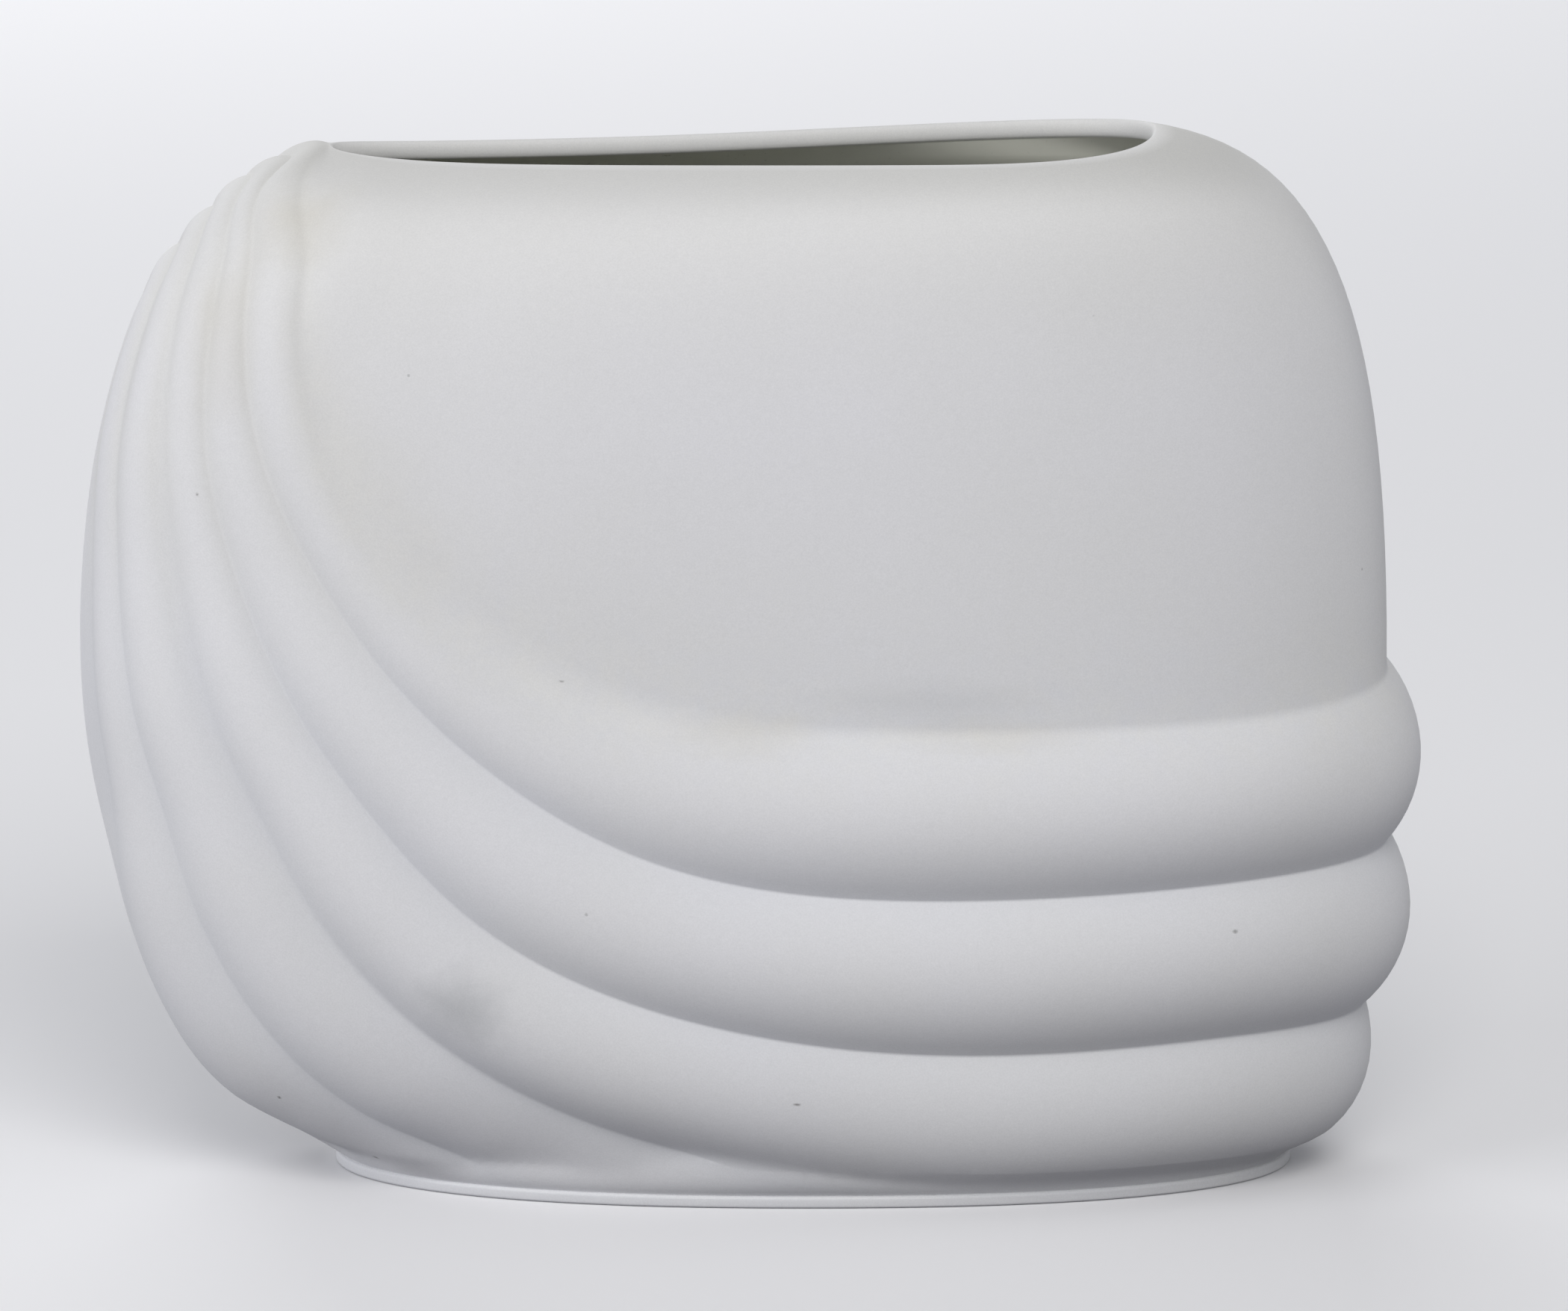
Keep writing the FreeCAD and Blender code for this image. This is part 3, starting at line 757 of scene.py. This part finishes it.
# Heights between which a colour comes in, in metres.
CREASE_FADE = (0.105, 0.170)
RIM_SHADE_FADE = (0.170, 0.222)
UNDER_LIP_SHADE_FADE = (0.2125, 0.2250)
CLOUD_RANGE = (0.35, 0.75)      # values of the grain's cloud between which it comes in
MARK_BREAK = 0.8                # how much the marks' edges are broken up
BUMP_DISTANCE = 0.00008         # metres


def group_node(tree, group, vector, **values):
    """Node of a shared group, with its vector and its other inputs."""
    made = tree.nodes.new("ShaderNodeGroup")
    made.node_tree = group
    tree.links.new(vector, made.inputs["Vector"])
    for name, value in values.items():
        put(tree, made, name, value)
    return made


def new_material(name):
    """Material with one shader; gives it, its tree, the shader and the place on the object."""
    material = bpy.data.materials.new(name)
    material.use_nodes = True
    tree = material.node_tree
    tree.nodes.clear()
    shader = tree.nodes.new("ShaderNodeBsdfPrincipled")
    end = tree.nodes.new("ShaderNodeOutputMaterial")
    tree.links.new(shader.outputs[0], end.inputs[0])
    place = tree.nodes.new("ShaderNodeTexCoord").outputs["Object"]
    return material, tree, shader, place


def marked(tree, place, colour, marks, tint):
    """Colour with a row of soft marks laid over it."""
    for where, spread, strength in marks:
        mark = group_node(tree, MARK, place, Place=[v * MM for v in where],
                          Spread=[v * MM for v in spread], Break=MARK_BREAK)
        share = math_node(tree, "MULTIPLY", mark.outputs[0], strength)
        colour = mixed(tree, share, colour, tint)
    return colour


def specked(tree, place, colour, strength, tint, **values):
    """Colour with a scatter of tiny specks over it."""
    specks = group_node(tree, SPECKS, place, **values)
    return mixed(tree, math_node(tree, "MULTIPLY", specks.outputs[0], strength), colour, tint)


def surface(tree, shader, grain, colour, roughness, strength):
    """Colour, a roughness that follows the grain as grain x first + second, and the grain as a
    fine bump of a strength."""
    tree.links.new(colour, shader.inputs["Base Color"])
    rough = math_node(tree, "MULTIPLY_ADD", grain.outputs[0], *roughness)
    tree.links.new(rough, shader.inputs["Roughness"])
    bump = add(tree, "ShaderNodeBump", Strength=strength, Distance=BUMP_DISTANCE,
               Height=grain.outputs[0])
    tree.links.new(bump.outputs[0], shader.inputs["Normal"])


def bisque():
    """Unglazed white porcelain: greyer in the creases as painted shade, white on top of the
    folds as painted light, cream where it was handled and grey towards the lip as painted
    shade, with a fine tooth, faint clouds, a few specks, warm stains, a patch of painted shade
    on the lowest folds and one grey smudge."""
    material, tree, shader, place = new_material("bisque_porcelain")
    grain = group_node(tree, GRAIN, place, Scale=TOOTH_SCALE)
    height = add(tree, "ShaderNodeSeparateXYZ", Vector=place).outputs[2]
    # Painted shade in the creases, bluer low down and warmer high up, and painted light on top of
    # the folds.
    crease = mixed(tree, ramp(tree, height, *CREASE_FADE), CREASE_SHADE_LOW, CREASE_SHADE_HIGH)
    colour = mixed(tree, layer_value(tree, "painted_light"), crease, PAINTED_LIGHT_WHITE)
    patchy = add(tree, "ShaderNodeTexNoise", Vector=place, Scale=160.0, Detail=4.0, Roughness=0.7)
    patchy = math_node(tree, "MULTIPLY_ADD", patchy.outputs[0], 2.2, -0.6, clamp=True)
    warm = math_node(tree, "MULTIPLY", layer_value(tree, "handled"), grain.outputs[1])
    colour = mixed(tree, math_node(tree, "MULTIPLY", warm, patchy), colour, HANDLED_CREAM)
    cloud = ramp(tree, grain.outputs[1], *CLOUD_RANGE, kind="LINEAR")
    colour = mixed(tree, math_node(tree, "MULTIPLY", cloud, 0.5), colour, CLOUD_GREY)
    # Painted shade: greyer towards the rim.
    rim = ramp(tree, height, *RIM_SHADE_FADE)
    colour = mixed(tree, math_node(tree, "MULTIPLY", rim, 0.6), colour, RIM_SHADE_GREY)
    # Painted shade: greyer still on the outside just under the lip.
    lip = math_node(tree, "MULTIPLY", ramp(tree, height, *UNDER_LIP_SHADE_FADE), layer_value(tree, "outside"))
    colour = mixed(tree, math_node(tree, "MULTIPLY", lip, 0.85), colour, UNDER_LIP_SHADE_GREY)
    colour = marked(tree, place, colour, STAIN_MARKS, STAIN_TAN)
    # A patch of painted shade in a dip of the lowest folds, and a grey smudge.
    colour = marked(tree, place, colour, SMUDGE_AND_SHADE_MARKS, SMUDGE_AND_SHADE_GREY)
    colour = marked(tree, place, colour, SPECK_MARKS, SPECK_BLACK)
    colour = specked(tree, place, colour, 0.6, KILN_GREY, Scale=70.0, Share=0.09, Size=0.030)
    tooth = math_node(tree, "MULTIPLY_ADD", grain.outputs[0], 0.22, 0.89)
    colour = mixed(tree, 1.0, colour, grey(tree, tooth), "MULTIPLY")
    surface(tree, shader, grain, colour, (0.12, 0.66), 0.4)
    shader.inputs["Specular IOR Level"].default_value = 0.28
    return material


def lining():
    """Thin clear glaze on the inside: smooth, slightly olive, with small pinholes."""
    material, tree, shader, place = new_material("inside_glaze")
    grain = group_node(tree, GRAIN, place, Scale=900.0)
    colour = mixed(tree, grain.outputs[1], (0.66, 0.67, 0.60, 1), (0.74, 0.74, 0.66, 1))
    colour = specked(tree, place, colour, 0.5, (0.25, 0.24, 0.20, 1),
                     Scale=120.0, Share=0.20, Size=0.05)
    surface(tree, shader, grain, colour, (0.10, 0.24), 0.2)
    return material


def floor_material():
    """Pale floor; light that bounces off it onto the vase is dimmer than what is seen."""
    material, tree, shader, _ = new_material("pale_floor")
    colour = mixed(tree, seen_share(tree), (0.18, 0.18, 0.20, 1), (0.90, 0.90, 0.91, 1))
    tree.links.new(colour, shader.inputs["Base Color"])
    shader.inputs["Roughness"].default_value = 0.9
    shader.inputs["Specular IOR Level"].default_value = 0.1
    return material


# ---- stage, light and camera ----

FLOOR_REACH = 4000.0        # millimetres
FLOOR_POINTS = 3

# Lamps: name, place and size in metres, watts and colour; all point at the vase's middle.
LAMP_AIM = (0, 0, 0.10)
LAMPS = [
    ("key", (0.48, -2.35, 2.30), (2.2, 1.5), 49.0, (1.0, 0.985, 0.97)),
    ("left_fill", (-2.3, -1.1, 0.60), (1.4, 1.5), 38.5, (0.965, 0.97, 1.0)),
    ("right_fill", (2.3, -1.3, 0.8), (1.2, 1.4), 9.0, (0.97, 0.98, 1.0)),
    ("back_fill", (-0.5, 2.4, 1.3), (2.0, 1.2), 26.0, (0.98, 0.985, 1.0)),
]

# Camera: aim and distance in metres, turn about the upright and rise above the level in
# degrees, focal length in millimetres for the sensor, and the frame's shift.
CAMERA_AIM = (-0.013, 0.0, 0.110)
CAMERA_DISTANCE = 1.8
CAMERA_TURN = -0.2
CAMERA_RISE = 13.5
SENSOR_WIDTH = 36.0
FOCAL_LENGTH = 193.17
FRAME_SHIFT = (0.0196, 0.0039)


def floor():
    """Flat square floor under the foot: an even grid, x and y from minus to plus its reach."""
    side = np.linspace(-FLOOR_REACH, FLOOR_REACH, FLOOR_POINTS)
    y, x = np.meshgrid(-side, side, indexing="ij")
    grid = np.stack([x, y, np.zeros_like(x)], axis=-1).reshape(-1, 3)
    faces = grid_triangles(FLOOR_POINTS, FLOOR_POINTS)
    made = mesh_object("floor", grid, faces, [floor_material()])


def softbox(name, place, size, power, colour):
    """Rectangular area lamp that points from its place at the lamps' aim."""
    lamp = bpy.data.lights.new(name, "AREA")
    lamp.shape = "RECTANGLE"
    lamp.size, lamp.size_y = size
    lamp.energy = power
    lamp.color = colour
    made = bpy.data.objects.new(name, lamp)
    bpy.context.scene.collection.objects.link(made)
    made.location = place
    made.rotation_euler = direction(place, LAMP_AIM)


def direction(place, aim):
    """Rotation that turns -Z from a place towards an aim point, with Y kept upwards."""
    dx, dy, dz = [b - a for a, b in zip(place, aim)]
    flat = math.hypot(dx, dy)
    return (math.pi / 2 + math.atan2(dz, flat), 0.0, math.atan2(dy, dx) - math.pi / 2)


def studio():
    """Soft lamps all round and a plain room, which looks paler than the light it gives."""
    for lamp in LAMPS:
        softbox(*lamp)
    world = bpy.data.worlds.new("soft_room")
    bpy.context.scene.world = world
    world.use_nodes = True
    tree = world.node_tree
    tree.nodes.clear()
    sky = mixed(tree, seen_share(tree), (0.24, 0.245, 0.26, 1), (0.80, 0.80, 0.81, 1))
    light = add(tree, "ShaderNodeBackground", Color=sky)
    end = tree.nodes.new("ShaderNodeOutputWorld")
    tree.links.new(light.outputs[0], end.inputs[0])


def camera():
    """Camera before the vase and a little above it, on a ball round its aim, with a long lens;
    the shift puts the frame where the picture has it."""
    turn, rise = math.radians(CAMERA_TURN), math.radians(CAMERA_RISE)
    place = (CAMERA_AIM[0] + CAMERA_DISTANCE * math.sin(turn) * math.cos(rise),
             CAMERA_AIM[1] - CAMERA_DISTANCE * math.cos(turn) * math.cos(rise),
             CAMERA_AIM[2] + CAMERA_DISTANCE * math.sin(rise))
    lens = bpy.data.cameras.new("camera")
    lens.sensor_width = SENSOR_WIDTH
    lens.lens = FOCAL_LENGTH
    lens.shift_x, lens.shift_y = FRAME_SHIFT
    made = bpy.data.objects.new("camera", lens)
    bpy.context.scene.collection.objects.link(made)
    made.location = place
    made.rotation_euler = direction(place, CAMERA_AIM)
    bpy.context.scene.camera = made


white_bisque = bisque()
vase_shell(white_bisque, lining())
foot_plate(white_bisque)
floor()
studio()
camera()
bpy.context.scene.view_settings.view_transform = "Standard"
